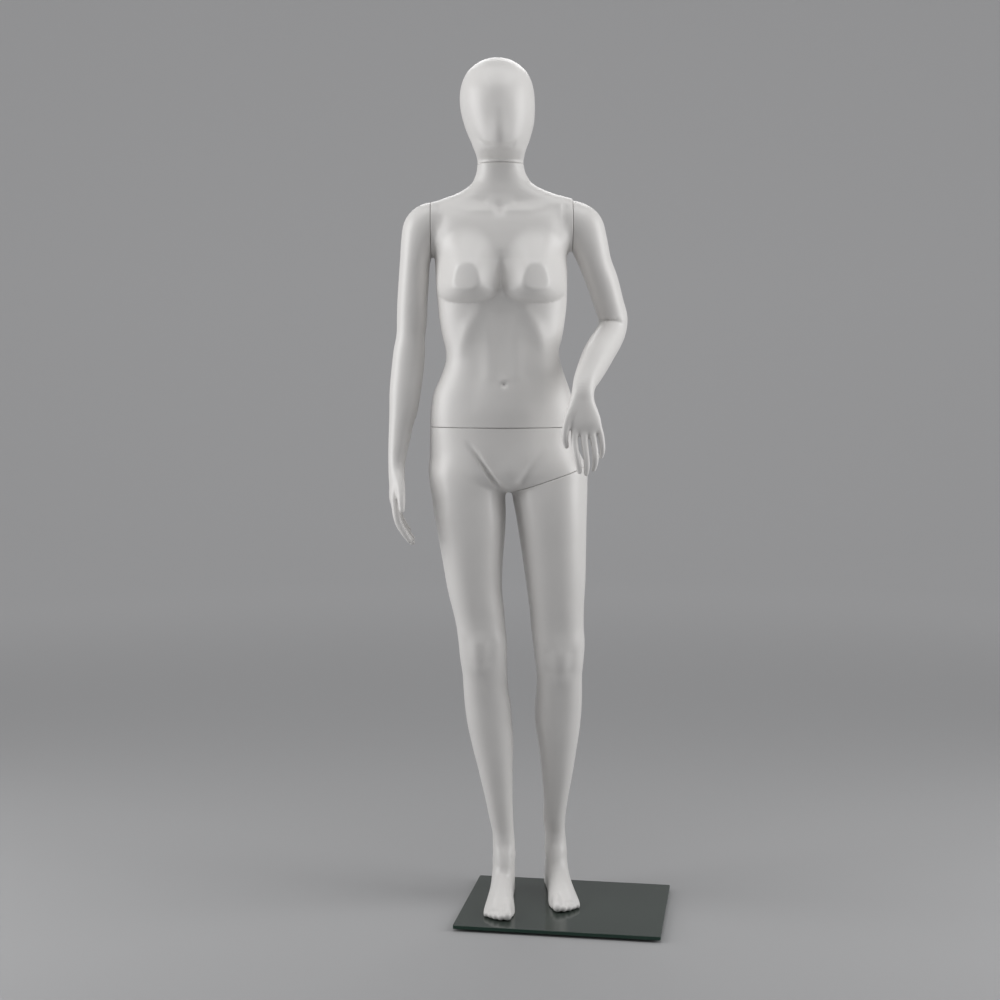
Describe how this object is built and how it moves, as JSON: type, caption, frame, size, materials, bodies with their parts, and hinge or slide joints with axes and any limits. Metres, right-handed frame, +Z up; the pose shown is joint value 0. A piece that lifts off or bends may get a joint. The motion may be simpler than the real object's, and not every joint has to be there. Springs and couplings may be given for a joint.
{
  "type": "full body mannequin",
  "caption": "Full body female display mannequin with an egg head and one bent arm, split at the neck, shoulders, waist and groin, on a tinted glass base plate.",
  "frame": {"origin": "bottom centre of the whole object's box, on the floor under the bumpers", "axes": "+Z up, the figure faces -Y, +X is the figure's left"},
  "size_m": [0.5992, 0.3868, 1.7613],
  "materials": {
    "white_plastic": "matt white moulded plastic with a faint grain",
    "tinted_glass": "dark green-grey tempered glass, polished edges",
    "clear_rubber": "clear soft bumper",
    "nylon": "natural nylon",
    "rubber": "black rubber",
    "steel": "zinc plated steel",
    "zinc_screws": "zinc plated countersunk screws"
  },
  "bodies": {
    "base": {"base_glass": "tinted_glass", "base_bumpers": "clear_rubber", "glass_bush": "nylon", "spigot_gasket": "rubber", "underside_gasket": "rubber", "base_washer": "steel", "base_screw": "zinc_screws", "foot_spigot": "steel"},
    "lower_body": {"hips_right_leg_shell": "white_plastic", "left_leg_shell": "white_plastic", "foot_sleeve": "steel", "left_leg_socket_plate": "steel", "left_leg_socket_screws": "zinc_screws", "left_leg_stud_plate": "steel", "left_leg_stud_screws": "zinc_screws", "left_leg_stud": "steel", "waist_socket_plate": "steel", "waist_socket_screws": "zinc_screws"},
    "torso": {"torso_shell": "white_plastic", "waist_stud_plate": "steel", "waist_stud_screws": "zinc_screws", "waist_stud": "steel", "neck_socket_plate": "steel", "neck_socket_screws": "zinc_screws", "right_shoulder_socket_plate": "steel", "right_shoulder_socket_screws": "zinc_screws", "left_shoulder_socket_plate": "steel", "left_shoulder_socket_screws": "zinc_screws"},
    "head": {"head_shell": "white_plastic", "neck_stud_plate": "steel", "neck_stud_screws": "zinc_screws", "neck_stud": "steel"},
    "right_arm": {"right_arm_shell": "white_plastic", "right_shoulder_stud_plate": "steel", "right_shoulder_stud_screws": "zinc_screws", "right_shoulder_stud": "steel"},
    "left_arm": {"left_arm_shell": "white_plastic", "left_shoulder_stud_plate": "steel", "left_shoulder_stud_screws": "zinc_screws", "left_shoulder_stud": "steel"}
  },
  "joints": [
    {"name": "base_lift", "type": "slide", "parent": "base", "child": "lower_body", "axis": [0, 0, 1], "range_m": [0, 0.11]},
    {"name": "waist_turn", "type": "hinge", "parent": "lower_body", "child": "torso", "pos_m": [-0.06412, 0.033, 1.0153], "axis": [0, 0, 1], "range_deg": [-45, 0]},
    {"name": "head_turn", "type": "hinge", "parent": "torso", "child": "head", "pos_m": [-0.06912, 0.035, 1.5493], "axis": [0, 0, 1], "continuous": true},
    {"name": "right_arm_turn", "type": "hinge", "parent": "torso", "child": "right_arm", "pos_m": [-0.21112, 0.037, 1.4283], "axis": [-1, 0, 0], "continuous": true},
    {"name": "left_arm_turn", "type": "hinge", "parent": "torso", "child": "left_arm", "pos_m": [0.07788, 0.037, 1.4283], "axis": [-1, 0, 0], "range_deg": [0, 180]}
  ]
}
